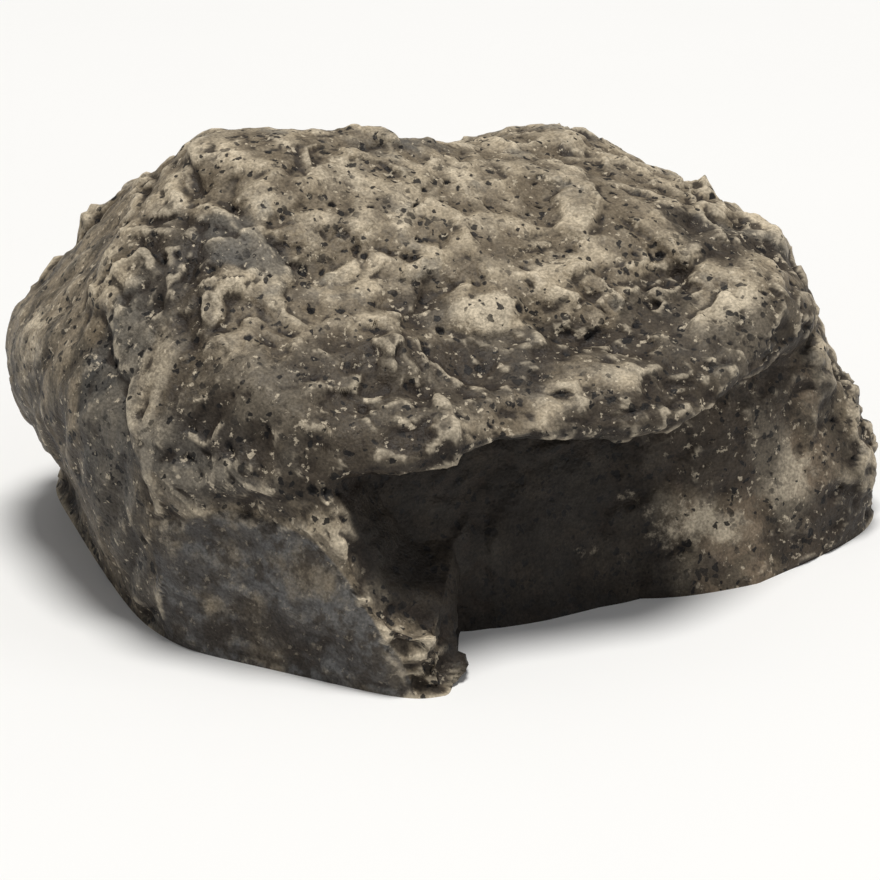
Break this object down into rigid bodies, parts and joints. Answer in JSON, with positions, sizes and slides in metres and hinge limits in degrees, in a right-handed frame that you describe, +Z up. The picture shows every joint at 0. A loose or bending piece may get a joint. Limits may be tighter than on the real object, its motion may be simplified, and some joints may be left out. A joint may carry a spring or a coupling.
{
  "type": "hide a key rock",
  "caption": "Fake stone with a hollow front that hides a door key in a tray in its underside, closed by a captive sliding lid.",
  "frame": {"origin": "on the ground, under the middle of the stone's bounding box", "axes": "+X along the stone towards the end where the lid slides out, -Y towards the hollow front, +Z up"},
  "size_m": [0.0898, 0.0702, 0.0445],
  "materials": {
    "rock_body": "cast stone resin, speckled grey and beige, slight gloss",
    "key_tray": "moulded, fine texture",
    "sliding_lid": "moulded, fine texture",
    "foam_pad": "closed-cell foam",
    "tray_screws": "zinc plated",
    "screw_inserts": "turned"
  },
  "bodies": {
    "rock": {"rock_body": "rock_body", "key_tray": "key_tray", "foam_pad": "foam_pad", "tray_screws": "tray_screws", "screw_inserts": "screw_inserts"},
    "lid": {"sliding_lid": "sliding_lid"}
  },
  "joints": [
    {"name": "lid_slide", "type": "slide", "parent": "rock", "child": "lid", "axis": [1, 0, 0], "range_m": [0, 0.0576]}
  ]
}
